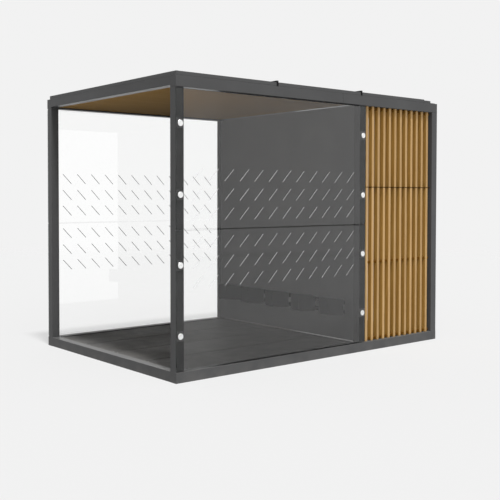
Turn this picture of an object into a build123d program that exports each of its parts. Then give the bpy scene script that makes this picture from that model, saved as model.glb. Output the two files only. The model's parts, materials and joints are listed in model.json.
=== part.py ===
"""Flat-roofed bike shelter: a steel frame with a glazed bicycle bay and a small slatted bay.

All sizes are in millimetres. X runs along the long front side, Y from front to back, Z up.
The origin is on the ground, in the middle of the frame.
"""
import os

from build123d import *

# Frame: clear distances between posts, and the sections of the square tubes
MAIN_BAY = 2038.0
SMALL_BAY = 1006.0
CLEAR_DEPTH = 1974.0
FRAME_HEIGHT = 2400.0
POST = 80.0
BEAM_WIDTH = 80.0
BASE_HEIGHT = 85.0
TOP_DEPTH = 90.0
CROSS_DEPTH = 75.0
TUBE_RADIUS = 3.0
SEAT = 0.3

# Glazing of the two long sides of the main bay: two panes, one above the other
GLASS = 8.0
GLASS_PAD = 2.0
GLASS_EDGE_GAP = 12.0
GLASS_MID_GAP = 10.0
GLASS_SIDE_INSET = 2.0

# Point fixings: a round clamp through each pane into the middle of the post
FIXING_INSET = 270.0
FIXING_RADIUS = 25.0
FIXING_PROUD = 7.0
FIXING_CHAMFER = 1.5
STEM_RADIUS = 8.0
STEM_CLEARANCE = 1.0
CLAMP_CLEARANCE = 0.15
TAPE_BREAK = 40.0

# Partition between the bays
PARTITION = 36.0
PARTITION_SETBACK = 2.0
PARTITION_GAP = 10.0

# Floor and ceiling
FLOOR_DROP = 7.0
FLOOR = 30.0
JOIST_WIDTH = 45.0
MAIN_JOISTS = 3
SMALL_JOISTS = 1
CEILING = 20.0

# Roof: flat panels on the frame, covers over the joints, and a lower trim along the right end
ROOF = 30.0
ROOF_MODULE = 1068.0
ROOF_RIGHT_INSET = 112.0
ROOF_BACK_INSET = 57.0
ROOF_JOINT = 4.0
COVER_WIDTH = 20.0
COVER_HEIGHT = 14.0
COVER_SHEET = 3.0
END_TRIM = 99.0
END_TRIM_DROP = 8.0

# Slat screens of the small bay
SLATS = 12
SLAT_WIDTH = 30.0
SLAT_DEPTH = 45.0
SLAT_RECESS = 25.0
SLAT_MARGIN = 33.7
TRANSOM_HEIGHT = 1543.5
TRANSOM = 8.0
SPACER_HEIGHT = 835.0
SPACER = 22.0
END_SPACER_INSET = 8.0

# Wheel rack on the partition, a little nearer the front than the back
WHEEL_PLACES = 5
WHEEL_PITCH = 376.0
RACK_FORWARD = 76.0
SLOT_FOOT = 80.0
SLOT_MOUTH = 105.0
CHEEK = 5.0
CHEEK_REACH = 237.0
CHEEK_CORNER = 12.0
FOOT_BOTTOM, FOOT_TOP = 325.0, 480.0
MOUTH_BOTTOM, MOUTH_TOP = 345.0, 512.0
RAIL = 40.0
RAIL_SHEET = 8.0
RAIL_OVERHANG = 12.0
RAIL_INSET = 12.0

# Places that follow from the sizes above
LENGTH = 3 * POST + MAIN_BAY + SMALL_BAY
DEPTH = 2 * BEAM_WIDTH + CLEAR_DEPTH
LEFT, RIGHT = -LENGTH / 2, LENGTH / 2
FRONT, BACK = -DEPTH / 2, DEPTH / 2
MID_LEFT = LEFT + POST + MAIN_BAY
MID_RIGHT = MID_LEFT + POST
INNER_FRONT, INNER_BACK = FRONT + BEAM_WIDTH, BACK - BEAM_WIDTH
TOP_UNDERSIDE = FRAME_HEIGHT - TOP_DEPTH
CROSS_UNDERSIDE = FRAME_HEIGHT - CROSS_DEPTH
POST_SETBACK = GLASS + GLASS_PAD
ROOF_TOP = FRAME_HEIGHT + ROOF


def block(x, y, z):
    """A box between pairs of limits along X, Y and Z."""
    middle = [(low + high) / 2 for low, high in (x, y, z)]
    return Pos(*middle) * Box(x[1] - x[0], y[1] - y[0], z[1] - z[0])


def tube(x, y, z, axis):
    """A closed steel tube, rounded along the edges that run with its axis."""
    body = block(x, y, z)
    return fillet(body.edges().filter_by(axis), TUBE_RADIUS)


def to_back(piece):
    """The same piece on the back side of the shelter."""
    return mirror(piece, about=Plane.XZ)


def spread(low, high, count):
    """Places that divide the distance between low and high into count + 1 equal parts."""
    return [low + (high - low) * (i + 1) / (count + 1) for i in range(count)]


def frame():
    """The box frame: base beams, six posts and top beams."""
    whole_x = (LEFT, RIGHT)
    front_y = (FRONT, INNER_FRONT)
    between_y = (INNER_FRONT, INNER_BACK)
    base = (0, BASE_HEIGHT)
    levels = {
        "base": (base, base),
        "top": ((TOP_UNDERSIDE, FRAME_HEIGHT), (CROSS_UNDERSIDE, FRAME_HEIGHT)),
    }
    columns = {"left": (LEFT, LEFT + POST), "middle": (MID_LEFT, MID_RIGHT), "right": (RIGHT - POST, RIGHT)}
    pieces = {}
    for level, (long_z, cross_z) in levels.items():
        front = tube(whole_x, front_y, long_z, Axis.X)
        pieces[f"{level}_beam_front"] = front
        pieces[f"{level}_beam_back"] = to_back(front)
        for side, x in columns.items():
            pieces[f"{level}_beam_{side}"] = tube(x, between_y, cross_z, Axis.Y)
    for side, x in columns.items():
        setback = 0 if side == "right" else POST_SETBACK
        post = tube(x, (FRONT + setback, INNER_FRONT), (BASE_HEIGHT, TOP_UNDERSIDE), Axis.Z)
        pieces[f"post_front_{side}"] = post
        pieces[f"post_back_{side}"] = to_back(post)
    return pieces


def pane_levels():
    """Bottom and top of the lower and the upper pane."""
    bottom = BASE_HEIGHT + GLASS_EDGE_GAP
    top = TOP_UNDERSIDE - GLASS_EDGE_GAP
    pane = (top - bottom - GLASS_MID_GAP) / 2
    return {"lower": (bottom, bottom + pane), "upper": (top - pane, top)}


def fixing_heights(level):
    """Heights of the two rows of fixings on one pane."""
    bottom, top = level
    return bottom + FIXING_INSET, top - FIXING_INSET


def fixing():
    """One clamp, turned about its axis, with its foot on the post at the origin and its face towards -Y."""
    glass_front = POST_SETBACK + CLAMP_CLEARANCE
    face = POST_SETBACK + FIXING_PROUD
    outline = Polyline(
        (0, 0),
        (STEM_RADIUS, 0),
        (STEM_RADIUS, glass_front),
        (FIXING_RADIUS, glass_front),
        (FIXING_RADIUS, face - FIXING_CHAMFER),
        (FIXING_RADIUS - FIXING_CHAMFER, face),
        (0, face),
        close=True,
    )
    turned = revolve(make_face(outline), axis=Axis.Y)
    return Rotation(180, 0, 0) * turned


def tape_strips(x, level):
    """Strips of glazing tape between the flat of a post and one pane, with a break at each fixing."""
    tape_x = (x - POST / 2 + TUBE_RADIUS, x + POST / 2 - TUBE_RADIUS)
    tape_y = (FRONT + GLASS, FRONT + POST_SETBACK)
    low, high = fixing_heights(level)
    spans = (
        (level[0], low - TAPE_BREAK),
        (low + TAPE_BREAK, high - TAPE_BREAK),
        (high + TAPE_BREAK, level[1]),
    )
    return [block(tape_x, tape_y, span) for span in spans]


def glazing():
    """Panes with bored holes, the fixings that clamp them to the posts, and the tape behind them."""
    pieces = {}
    columns = (LEFT + POST / 2, MID_LEFT + POST / 2)
    pane_x = (LEFT + GLASS_SIDE_INSET, MID_RIGHT - GLASS_SIDE_INSET)
    bore = Rotation(90, 0, 0) * Cylinder(STEM_RADIUS + STEM_CLEARANCE, 4 * GLASS)
    clamps, tapes = [], []
    for name, level in pane_levels().items():
        pane = block(pane_x, (FRONT, FRONT + GLASS), level)
        for x in columns:
            tapes += tape_strips(x, level)
            for z in fixing_heights(level):
                pane -= Pos(x, FRONT + GLASS / 2, z) * bore
                clamps.append(Pos(x, FRONT + POST_SETBACK, z) * fixing())
        pieces[f"glass_front_{name}"] = pane
        pieces[f"glass_back_{name}"] = to_back(pane)
    pieces["fixings_front"] = Compound(children=clamps)
    pieces["fixings_back"] = Compound(children=[to_back(clamp) for clamp in clamps])
    pieces["glazing_tape_front"] = Compound(children=tapes)
    pieces["glazing_tape_back"] = Compound(children=[to_back(tape) for tape in tapes])
    return pieces


def bays():
    """Limits along X of the clear space of each bay, with its number of joists."""
    return {
        "main": ((LEFT + POST, MID_LEFT), MAIN_JOISTS),
        "small": ((MID_RIGHT, RIGHT - POST), SMALL_JOISTS),
    }


def floor_and_ceiling():
    """Floor and ceiling decks of both bays, with the joists that carry them."""
    floor_top = BASE_HEIGHT - FLOOR_DROP
    floor_bottom = floor_top - FLOOR
    ceiling_top = CROSS_UNDERSIDE + CEILING
    y = (INNER_FRONT + SEAT, INNER_BACK - SEAT)
    pieces, joists, rafters = {}, [], []
    for name, (x, count) in bays().items():
        deck_x = (x[0] + SEAT, x[1] - SEAT)
        pieces[f"floor_{name}"] = block(deck_x, y, (floor_bottom, floor_top))
        pieces[f"ceiling_{name}"] = block(deck_x, y, (CROSS_UNDERSIDE, ceiling_top))
        for middle in spread(*x, count):
            joist_x = (middle - JOIST_WIDTH / 2, middle + JOIST_WIDTH / 2)
            joists.append(block(joist_x, y, (0, floor_bottom)))
            rafters.append(block(joist_x, y, (ceiling_top, FRAME_HEIGHT)))
    pieces["floor_joists"] = Compound(children=joists)
    pieces["roof_rafters"] = Compound(children=rafters)
    return pieces


def joint_cover(x_right):
    """A cover strip over a roof joint, bent down over the front edge of the roof."""
    x = (x_right - COVER_WIDTH, x_right)
    strip = block(x, (FRONT - COVER_SHEET, BACK - ROOF_BACK_INSET), (ROOF_TOP, ROOF_TOP + COVER_HEIGHT))
    hook = block(x, (FRONT - COVER_SHEET, FRONT), (FRAME_HEIGHT, ROOF_TOP))
    return strip + hook


def roof():
    """Three flat roof panels side by side, covers on the joints between them, and the trim at the right."""
    right_end = RIGHT - ROOF_RIGHT_INSET
    trim_start = right_end - END_TRIM
    y = (FRONT, BACK - ROOF_BACK_INSET)
    spans = {
        "left": (LEFT, LEFT + ROOF_MODULE - ROOF_JOINT),
        "middle": (LEFT + ROOF_MODULE, LEFT + 2 * ROOF_MODULE - ROOF_JOINT),
        "right": (LEFT + 2 * ROOF_MODULE, trim_start),
    }
    pieces = {}
    for name, x in spans.items():
        pieces[f"roof_panel_{name}"] = block(x, y, (FRAME_HEIGHT, ROOF_TOP))
        if name == "right":
            trim = block((trim_start, right_end), y, (FRAME_HEIGHT, ROOF_TOP - END_TRIM_DROP))
            pieces["roof_cover_right"] = trim
        else:
            pieces[f"roof_cover_{name}"] = joint_cover(x[1] + (ROOF_JOINT + COVER_WIDTH) / 2)
    return pieces


def partition():
    """The closed wall between the bays, held by the middle posts."""
    left_face = MID_LEFT + PARTITION_SETBACK
    return {
        "partition_wall": block(
            (left_face, left_face + PARTITION),
            (INNER_FRONT + SEAT, INNER_BACK - SEAT),
            (BASE_HEIGHT + PARTITION_GAP, CROSS_UNDERSIDE - PARTITION_GAP),
        )
    }


def wheel_rack():
    """Two flat rails on the partition, and for each wheel a pair of cheeks that spread towards the mouth."""
    wall = MID_LEFT + PARTITION_SETBACK
    foot = wall - RAIL_SHEET
    mouth = foot - CHEEK_REACH
    half_length = (WHEEL_PLACES - 1) * WHEEL_PITCH / 2 + SLOT_FOOT / 2 + CHEEK + RAIL_OVERHANG
    rail_y = (-RACK_FORWARD - half_length, -RACK_FORWARD + half_length)
    rail_bottoms = (FOOT_BOTTOM + RAIL_INSET, FOOT_TOP - RAIL_INSET - RAIL)
    rails = [block((foot, wall), rail_y, (z, z + RAIL)) for z in rail_bottoms]
    side_view = Polyline(
        (foot, FOOT_BOTTOM),
        (foot, FOOT_TOP),
        (mouth + CHEEK_CORNER, MOUTH_TOP),
        (mouth, MOUTH_TOP - CHEEK_CORNER),
        (mouth, MOUTH_BOTTOM + CHEEK_CORNER),
        (mouth + CHEEK_CORNER, MOUTH_BOTTOM),
        close=True,
    )
    side_shape = extrude(Plane.XZ * make_face(side_view), amount=DEPTH, both=True)
    cheeks = []
    for place in range(WHEEL_PLACES):
        middle = (place - (WHEEL_PLACES - 1) / 2) * WHEEL_PITCH - RACK_FORWARD
        for side in (-1, 1):
            at_foot, at_mouth = middle + side * SLOT_FOOT / 2, middle + side * SLOT_MOUTH / 2
            plan = Polyline(
                (foot, at_foot),
                (foot, at_foot + side * CHEEK),
                (mouth, at_mouth + side * CHEEK),
                (mouth, at_mouth),
                close=True,
            )
            cheeks.append(extrude(make_face(plan), amount=MOUTH_TOP) & side_shape)
    return {"wheel_rack_rails": Compound(children=rails), "wheel_rack_cheeks": Compound(children=cheeks)}


def slat_screen():
    """The front screen of the small bay: slats in two lengths, a transom between, and spacers."""
    bay_left, bay_right = MID_RIGHT, RIGHT - POST
    y = (FRONT + SLAT_RECESS, FRONT + SLAT_RECESS + SLAT_DEPTH)
    pitch = (bay_right - bay_left - 2 * SLAT_MARGIN - SLAT_WIDTH) / (SLATS - 1)
    starts = [bay_left + SLAT_MARGIN + i * pitch for i in range(SLATS)]
    levels = ((BASE_HEIGHT, TRANSOM_HEIGHT), (TRANSOM_HEIGHT + TRANSOM, TOP_UNDERSIDE))
    slats = [block((x, x + SLAT_WIDTH), y, z) for x in starts for z in levels]
    transom = block((bay_left + SEAT, bay_right - SEAT), y, (TRANSOM_HEIGHT, TRANSOM_HEIGHT + TRANSOM))
    gaps = zip([bay_left] + [x + SLAT_WIDTH for x in starts], starts + [bay_right])
    spacer_y = (sum(y) / 2 - SPACER / 2, sum(y) / 2 + SPACER / 2)
    spacer_rows = (
        BASE_HEIGHT + END_SPACER_INSET,
        SPACER_HEIGHT - SPACER / 2,
        TOP_UNDERSIDE - END_SPACER_INSET - SPACER,
    )
    spacers = [
        block((low + SEAT, high - SEAT), spacer_y, (z, z + SPACER))
        for low, high in gaps
        for z in spacer_rows
    ]
    return {"slats": slats, "slat_transom": [transom], "slat_spacers": spacers}


def slat_screens():
    """The same screen at the front and at the back of the small bay."""
    pieces = {}
    for name, solids in slat_screen().items():
        pieces[f"{name}_front"] = Compound(children=solids)
        pieces[f"{name}_back"] = Compound(children=[to_back(solid) for solid in solids])
    return pieces


def shelter():
    """Every piece of the shelter by the name of its node."""
    pieces = {}
    for group in (frame, glazing, floor_and_ceiling, roof, partition, wheel_rack, slat_screens):
        pieces.update(group())
    return pieces


os.makedirs("parts", exist_ok=True)
for node, piece in shelter().items():
    export_step(piece, f"parts/{node}.step")
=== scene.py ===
# %% [markdown]
# # A glazed bike shelter with a slatted bay
# The shelter is a box of dark square steel tube. Its larger bay has clear glass on both long sides, and the
# smaller bay stands behind vertical wood slats. The solids of the frame come ready made, at their real size and in
# metres. This lesson gives every surface its finish, and adds what a solid leaves out: boards, printed strokes,
# screws, seals and welds.

# %% Load the frame
import json
import math
import random

import bmesh
import bpy
from mathutils import Matrix, Vector


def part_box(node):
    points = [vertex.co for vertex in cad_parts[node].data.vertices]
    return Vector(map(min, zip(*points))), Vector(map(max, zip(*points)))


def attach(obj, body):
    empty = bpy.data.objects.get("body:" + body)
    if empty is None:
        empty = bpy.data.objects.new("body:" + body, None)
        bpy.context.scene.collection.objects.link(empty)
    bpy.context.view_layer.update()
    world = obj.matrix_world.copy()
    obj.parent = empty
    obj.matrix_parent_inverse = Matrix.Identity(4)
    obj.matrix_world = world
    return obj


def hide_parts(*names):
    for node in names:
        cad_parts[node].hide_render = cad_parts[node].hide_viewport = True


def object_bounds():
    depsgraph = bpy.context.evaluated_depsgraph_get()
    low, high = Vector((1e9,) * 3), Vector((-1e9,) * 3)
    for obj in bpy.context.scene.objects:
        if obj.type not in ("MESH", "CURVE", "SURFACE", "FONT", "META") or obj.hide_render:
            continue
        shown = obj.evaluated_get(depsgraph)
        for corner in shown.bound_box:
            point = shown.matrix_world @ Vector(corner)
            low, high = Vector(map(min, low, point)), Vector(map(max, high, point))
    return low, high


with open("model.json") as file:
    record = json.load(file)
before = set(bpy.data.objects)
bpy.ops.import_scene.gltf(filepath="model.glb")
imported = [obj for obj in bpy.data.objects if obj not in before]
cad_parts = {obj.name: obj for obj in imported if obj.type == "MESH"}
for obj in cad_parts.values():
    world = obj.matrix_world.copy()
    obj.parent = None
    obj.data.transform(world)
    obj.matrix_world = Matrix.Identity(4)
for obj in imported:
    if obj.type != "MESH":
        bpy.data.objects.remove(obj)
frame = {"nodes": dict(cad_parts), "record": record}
solid_low, solid_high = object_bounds()
print("solids", len(frame["nodes"]), "size", [round(v, 3) for v in solid_high - solid_low])

# %% [markdown]
# ## The camera
# The photograph was taken from just below eye height, left of the shelter and well in front of it. A slightly long
# lens keeps the uprights nearly parallel. It doesn't point at the middle of the picture, so the film is shifted.

# %% Camera
PICTURE = 500
LENS_CENTRE = (207.4, 219.4)
CAMERA_PLACE = Vector((-5.358, -6.179, 1.458))
CAMERA_HEADING = math.radians(51.795)
CAMERA_DIP = math.radians(-1.599)
FILM_WIDTH = 36.0
FOCAL_LENGTH = 58.82


def add_object(name, data):
    """A new object in the scene, with its data."""
    made = bpy.data.objects.new(name, data)
    bpy.context.scene.collection.objects.link(made)
    return made


camera = add_object("Camera", bpy.data.cameras.new("Camera"))
camera.data.sensor_width = FILM_WIDTH
camera.data.lens = FOCAL_LENGTH
camera.data.shift_x = 0.5 - LENS_CENTRE[0] / PICTURE
camera.data.shift_y = LENS_CENTRE[1] / PICTURE - 0.5
camera.location = CAMERA_PLACE
camera.rotation_euler = (math.pi / 2 + CAMERA_DIP, 0, CAMERA_HEADING - math.pi / 2)
bpy.context.scene.camera = camera
bpy.context.scene.view_settings.view_transform = "Standard"
print("camera", [round(v, 2) for v in camera.location], "shift", round(camera.data.shift_x, 4))

# %% [markdown]
# ## Small helpers for shader nodes
# A material is a tree of nodes. The first helper makes a node, sets what it is told to, and links any input that is
# given another node's output. The others build on it.

# %% Node helpers


def add_node(tree, kind, inputs=None, **settings):
    """Makes a node. An input given as another node's output is linked, any other value is set."""
    made = tree.nodes.new(kind)
    for name, value in settings.items():
        setattr(made, name, value)
    for name, value in (inputs or {}).items():
        if isinstance(value, bpy.types.NodeSocket):
            tree.links.new(value, made.inputs[name])
        else:
            made.inputs[name].default_value = value
    return made


def maths(tree, operation, first, second=0.0, clamp=False):
    """One sum in a node tree, as the output that holds its result."""
    made = add_node(tree, "ShaderNodeMath", {0: first, 1: second}, operation=operation, use_clamp=clamp)
    return made.outputs[0]


def blend_colours(tree, amount, first, second, blend="MIX"):
    """A mix of two colours, as the output that holds the result."""
    made = add_node(tree, "ShaderNodeMix", {0: amount, 6: first, 7: second}, data_type="RGBA", blend_type=blend)
    return made.outputs[2]


def blend_shaders(tree, share, first, second):
    """A blend of two shader nodes. The share is 0 for the first and 1 for the second."""
    return add_node(tree, "ShaderNodeMixShader", {0: share, 1: first.outputs[0], 2: second.outputs[0]})


def remap(tree, value, low, high, new_low=0.0, new_high=1.0):
    """Stretches the range low to high to a new one, and keeps the result inside it."""
    made = add_node(tree, "ShaderNodeMapRange", {0: value, 1: low, 2: high, 3: new_low, 4: new_high})
    return made.outputs[0]


def noise(tree, place, scale, detail, **more):
    """Soft noise at a place, as an output around 0.5."""
    made = add_node(tree, "ShaderNodeTexNoise", {"Vector": place, "Scale": scale, "Detail": detail, **more})
    return made.outputs[0]


def place_of(tree):
    """Where the shaded point lies, in metres from the shelter's origin."""
    return add_node(tree, "ShaderNodeTexCoord").outputs["Object"]


def parts_of(tree, vector):
    """The X, Y and Z of a vector, as outputs."""
    return add_node(tree, "ShaderNodeSeparateXYZ", {0: vector}).outputs


def facing(tree):
    """Which way the surface looks."""
    return add_node(tree, "ShaderNodeNewGeometry").outputs["Normal"]


def grey(value):
    """A neutral colour."""
    return (value, value, value, 1.0)


# %% [markdown]
# ## Light and ground
# The picture is a plain studio view: an almost white ground runs into an almost white background. The world shows
# the lens and every mirror-like surface the same pale grey, seen through glass a little brighter, and gives the
# object softer, weaker light. Two distant lamps do the rest: one nearly overhead, for the bright strip on the floor
# at the open end, and one from the front, so wide that its shadows are soft.

# %% World
BACKGROUND = 0.887
BEHIND_GLASS = 1.11
SKY_LIGHT = 0.28

world = bpy.data.worlds.new("Studio")
bpy.context.scene.world = world
world.use_nodes = True
sky = world.node_tree
sky.nodes.clear()
ray = add_node(sky, "ShaderNodeLightPath").outputs
plain = add_node(sky, "ShaderNodeBackground", {"Color": grey(1), "Strength": SKY_LIGHT})
shown = add_node(sky, "ShaderNodeBackground", {"Color": grey(BACKGROUND)})
glazed = add_node(sky, "ShaderNodeBackground", {"Color": grey(BACKGROUND * BEHIND_GLASS)})
direct = maths(sky, "MAXIMUM", ray["Is Camera Ray"], ray["Is Glossy Ray"])
backdrop = blend_shaders(sky, ray["Is Transmission Ray"], blend_shaders(sky, direct, plain, shown), glazed)
add_node(sky, "ShaderNodeOutputWorld", {"Surface": backdrop.outputs[0]})

# %% Lamps
LAMPS = (
    ("overhead", Vector((0.075, 0.31, -1.0)), 2.95, math.radians(6)),
    ("front", Vector((0.34, 0.85, -0.62)), 0.68, math.radians(70)),
)

level_light = SKY_LIGHT
for name, travel, strength, angle in LAMPS:
    lamp = add_object(f"Lamp_{name}", bpy.data.lights.new(f"Lamp_{name}", "SUN"))
    lamp.data.energy = strength
    lamp.data.angle = angle
    lamp.rotation_euler = travel.to_track_quat("-Z", "Y").to_euler()
    level_light += strength / math.pi * -travel.z / travel.length
print("light on a level surface", round(level_light, 3))

# %% [markdown]
# Most of the ground's brightness is a glow of its own, in the background's tone, so its shadows stay pale and its rim
# can't be seen. The glow is a little brighter through glass and weaker as light on the object. Mirror-like surfaces
# see it darker from a zone before the shelter inwards: painted shade, for the shelter's shade on the ground near its
# foot.

# %% Ground
GROUND_RADIUS = 16.0
GROUND_FADE_START = 9.0
GROUND_STEPS = 96
GROUND_COLOUR = BACKGROUND / level_light
GLOW_SHARE = 0.7
GROUND_BOUNCE = 0.8
# Painted shade: mirrors see the ground darker in this zone before the shelter's foot.
SHADED_FOOT_ZONE = (-2.9, -2.0)
FOOT_SHADE_IN_MIRRORS = 0.6

ground_mesh = bpy.data.meshes.new("Ground")
ground_making = bmesh.new()
bmesh.ops.create_circle(ground_making, cap_ends=True, radius=GROUND_RADIUS, segments=GROUND_STEPS)
ground_making.to_mesh(ground_mesh)
ground_making.free()
ground = add_object("Ground", ground_mesh)

ground_finish = bpy.data.materials.new("Ground")
ground_finish.use_nodes = True
tree = ground_finish.node_tree
tree.nodes.clear()
where = place_of(tree)
away = add_node(tree, "ShaderNodeVectorMath", {0: where}, operation="LENGTH")
fade = remap(tree, away.outputs["Value"], GROUND_FADE_START, GROUND_RADIUS)
fade = maths(tree, "MULTIPLY", fade, fade)
foot = remap(tree, parts_of(tree, where)["Y"], *SHADED_FOOT_ZONE)
matt = add_node(tree, "ShaderNodeBsdfDiffuse", {"Color": grey(GROUND_COLOUR)})
ray = add_node(tree, "ShaderNodeLightPath").outputs
mirrored = maths(tree, "SUBTRACT", ray["Is Glossy Ray"], ray["Is Transmission Ray"], clamp=True)
lift = 1.0
# The last share darkens the glow in mirrors near the shelter's foot, as painted shade.
for share, strength in ((ray["Is Transmission Ray"], BEHIND_GLASS), (ray["Is Diffuse Ray"], GROUND_BOUNCE),
                        (maths(tree, "MULTIPLY", foot, mirrored), FOOT_SHADE_IN_MIRRORS)):
    lift = maths(tree, "MULTIPLY", lift, remap(tree, share, 0.0, 1.0, 1.0, strength))
glow = add_node(tree, "ShaderNodeEmission", {"Color": grey(BACKGROUND), "Strength": lift})
gone = add_node(tree, "ShaderNodeBsdfTransparent")
faded = blend_shaders(tree, fade, blend_shaders(tree, GLOW_SHARE, matt, glow), gone)
add_node(tree, "ShaderNodeOutputMaterial", {"Surface": faded.outputs[0]})
ground.data.materials.append(ground_finish)
print("ground colour", round(GROUND_COLOUR, 3))

# %% [markdown]
# ## Effects that several finishes share
# Paint, boards and steel show the same few effects: paler edges, which are partly wear and partly a painted highlight
# where an edge would catch the light, a fine skin texture, a little dust low down. Each effect is a node group, made
# once, and every material places it with its own values. A group gives out masks, heights and tones, and the material
# keeps its own shader.

# %% Group helpers


def shader_group(name, inputs, outputs):
    """A new node group from its inputs' names and values and its outputs' names. Returns it with both its ends."""
    group = bpy.data.node_groups.new(name, "ShaderNodeTree")
    for label, value in inputs.items():
        kind = "NodeSocketVector" if isinstance(value, tuple) else "NodeSocketFloat"
        group.interface.new_socket(label, in_out="INPUT", socket_type=kind).default_value = value
    for label in outputs:
        group.interface.new_socket(label, in_out="OUTPUT", socket_type="NodeSocketFloat")
    return group, group.nodes.new("NodeGroupInput").outputs, group.nodes.new("NodeGroupOutput").inputs


def place_group(tree, group, inputs):
    """Puts a node group into a material."""
    return add_node(tree, "ShaderNodeGroup", inputs, node_tree=group).outputs


# %% [markdown]
# Worn and highlit edges: a rounded copy of the surface normal differs from the true one only near an edge. Their
# dot product is 1 on flat faces and less at edges, so its shortfall is a mask. The paler colour that it brings is
# partly wear and partly a painted highlight, where an edge would catch the light. Noise breaks the line up, as wear
# does.

# %% Worn edges and highlight group
edge_wear_and_highlight, given, out = shader_group("Worn edges and highlight", {"Width": 0.004, "Breaks": 30.0, "Amount": 0.5}, ["Mask"])
rounded = add_node(edge_wear_and_highlight, "ShaderNodeBevel", {"Radius": given["Width"]}, samples=4)
likeness = add_node(edge_wear_and_highlight, "ShaderNodeVectorMath", {0: rounded.outputs[0], 1: facing(edge_wear_and_highlight)},
                    operation="DOT_PRODUCT")
edge = remap(edge_wear_and_highlight, likeness.outputs["Value"], 0.995, 0.9)
patchy = remap(edge_wear_and_highlight, noise(edge_wear_and_highlight, place_of(edge_wear_and_highlight), given["Breaks"], 4.0), 0.4, 0.62)
worn_and_highlit = maths(edge_wear_and_highlight, "MULTIPLY", maths(edge_wear_and_highlight, "MULTIPLY", edge, patchy), given["Amount"], clamp=True)
edge_wear_and_highlight.links.new(worn_and_highlit, out["Mask"])

# %% [markdown]
# Powder coat is baked dust, so up close it is a skin of soft bumps about a millimetre wide. From a distance the
# same coat only varies a little in tone. One fine noise gives the height, and a broad one gives the tone.

# %% Coat texture group
coat_texture, given, out = shader_group("Coat texture", {"Bump size": 0.0015, "Patch size": 0.5},
                                        ["Height", "Tone"])
place = place_of(coat_texture)
for width, detail, result in (("Bump size", 2.0, "Height"), ("Patch size", 3.0, "Tone")):
    patches = noise(coat_texture, place, maths(coat_texture, "DIVIDE", 1.0, given[width]), detail)
    coat_texture.links.new(patches, out[result])

# %% [markdown]
# Dust settles on what faces up, and rain splashes it onto the lowest hand's breadth of the frame. The mask joins
# both: how far the surface faces up, and how near it is to the ground.

# %% Dust group
settled_dust, given, out = shader_group("Settled dust", {"On top": 0.3, "Splash": 0.3, "Splash height": 0.12},
                                        ["Mask"])
upward = remap(settled_dust, parts_of(settled_dust, facing(settled_dust))["Z"], 0.6, 1.0)
place = place_of(settled_dust)
height = maths(settled_dust, "DIVIDE", parts_of(settled_dust, place)["Z"], given["Splash height"])
near_ground = maths(settled_dust, "SUBTRACT", 1.0, height, clamp=True)
cloudy = remap(settled_dust, noise(settled_dust, place, 9.0, 6.0), 0.35, 0.7)
both = maths(settled_dust, "ADD", maths(settled_dust, "MULTIPLY", upward, given["On top"]),
             maths(settled_dust, "MULTIPLY", near_ground, given["Splash"]))
settled_dust.links.new(maths(settled_dust, "MULTIPLY", both, cloudy, clamp=True), out["Mask"])

# %% [markdown]
# Wood grain runs along the board. The coordinates are squeezed along it, so round noise becomes long streaks, and
# each board shifts them by its own number, so that no two boards show the same figure. Broad rings, fine fibres and
# the board's own tone are separate outputs, which a material mixes as its wood needs.

# %% Wood grain group
BOARD_TONE = "board_tone"

wood_grain, given, out = shader_group(
    "Wood grain", {"Squeeze": (1.0, 1.0, 0.06), "Ring width": 0.02, "Fibre width": 0.0015},
    ["Rings", "Fibres", "Board"],
)
board = add_node(wood_grain, "ShaderNodeAttribute", attribute_name=BOARD_TONE).outputs["Fac"]
shift = maths(wood_grain, "MULTIPLY", board, 37.0)
moved = add_node(wood_grain, "ShaderNodeVectorMath", {0: place_of(wood_grain), 1: shift}, operation="ADD")
squeezed = add_node(wood_grain, "ShaderNodeVectorMath", {0: moved.outputs[0], 1: given["Squeeze"]},
                    operation="MULTIPLY").outputs[0]
for width, detail, more, result in (("Ring width", 3.0, {"Distortion": 0.6}, "Rings"),
                                    ("Fibre width", 4.0, {"Roughness": 0.65}, "Fibres")):
    streaks = noise(wood_grain, squeezed, maths(wood_grain, "DIVIDE", 1.0, given[width]), detail, **more)
    wood_grain.links.new(streaks, out[result])
wood_grain.links.new(board, out["Board"])
print("groups", [group.name for group in bpy.data.node_groups])

# %% [markdown]
# ## Finishes
# Every finish starts the same way: a material with one Principled shader. What is the same all over a surface is
# set on the shader itself, and only what varies comes through nodes.

# %% Start of a finish


def start_finish(name, **values):
    """A material with one shader. Values are set on the shader's own sockets."""
    finish = bpy.data.materials.new(name)
    finish.use_nodes = True
    shader = finish.node_tree.nodes["Principled BSDF"]
    for label, value in values.items():
        shader.inputs[label.replace("_", " ")].default_value = value
    return finish, finish.node_tree, shader


def feed(shader, **outputs):
    """Links outputs of other nodes to the shader's own sockets."""
    for label, output in outputs.items():
        shader.id_data.links.new(output, shader.inputs[label.replace("_", " ")])


def add_bump(tree, shader, height, depth, strength=1.0):
    """Feeds a height into the shader's normal. The depth is in metres."""
    bump = add_node(tree, "ShaderNodeBump", {"Height": height, "Distance": depth, "Strength": strength})
    feed(shader, Normal=bump.outputs[0])


# %% [markdown]
# Frame, roof, partition, rack and the screens' spacers are all coated steel. They differ in colour, in gloss and in
# how much dust they hold, so one function makes them all.

# %% Coated steel
# Edges fade to this paler grey: partly wear, partly a painted highlight where an edge catches the light.
WEAR_AND_HIGHLIGHT_COLOUR = (0.23, 0.235, 0.24, 1.0)
DUST_COLOUR = (0.36, 0.34, 0.31, 1.0)


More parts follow.
